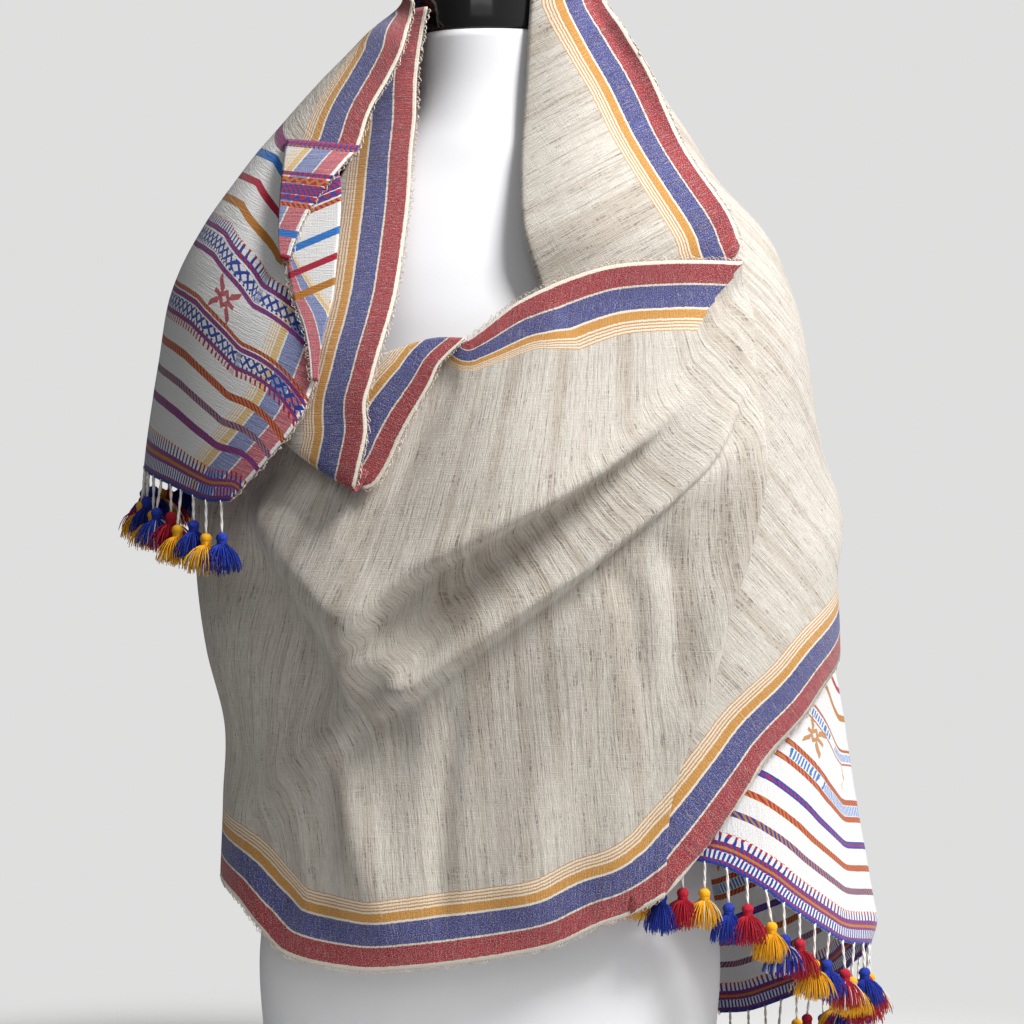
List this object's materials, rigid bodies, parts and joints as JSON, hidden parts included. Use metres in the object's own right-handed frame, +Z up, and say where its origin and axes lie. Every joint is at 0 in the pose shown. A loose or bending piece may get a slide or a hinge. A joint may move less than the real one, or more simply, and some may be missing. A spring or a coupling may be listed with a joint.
{
  "type": "stole draped on a dress form",
  "caption": "Handwoven stole with striped borders and tasselled ends, wound about a limbless dress form with a flat base and a glossy neck cap.",
  "frame": {"origin": "middle of the dress form's flat base", "axes": "+Z up along the form's height, the form's front looks along -Y, +X to its viewer's right"},
  "size_m": [0.553, 0.3739, 0.886],
  "materials": {
    "cloth_body": "slubby handwoven, natural with striped borders",
    "cloth_end": "fine white plain weave with extra-weft bands",
    "tassel_yarn": "matt yarn in blue, red and yellow, white cords",
    "form_shell": "smooth matt white",
    "form_cap": "polished black"
  },
  "bodies": {
    "root": {"form_torso": "form_shell", "form_neck_cap": "form_cap", "front_panel": "cloth_body", "cowl_turnback": "cloth_body", "neck_band_left": "cloth_body", "lapel_right": "cloth_body", "cape_outer": "cloth_body", "back_inner": "cloth_body", "end_left": "cloth_end", "end_left_turnout": "cloth_end", "end_left_pleat": "cloth_end", "end_right": "cloth_end", "tassels_left_1": "tassel_yarn", "tassels_left_2": "tassel_yarn", "tassels_left_3": "tassel_yarn", "tassels_right_1": "tassel_yarn", "tassels_right_2": "tassel_yarn", "tassels_right_3": "tassel_yarn"}
  },
  "joints": []
}
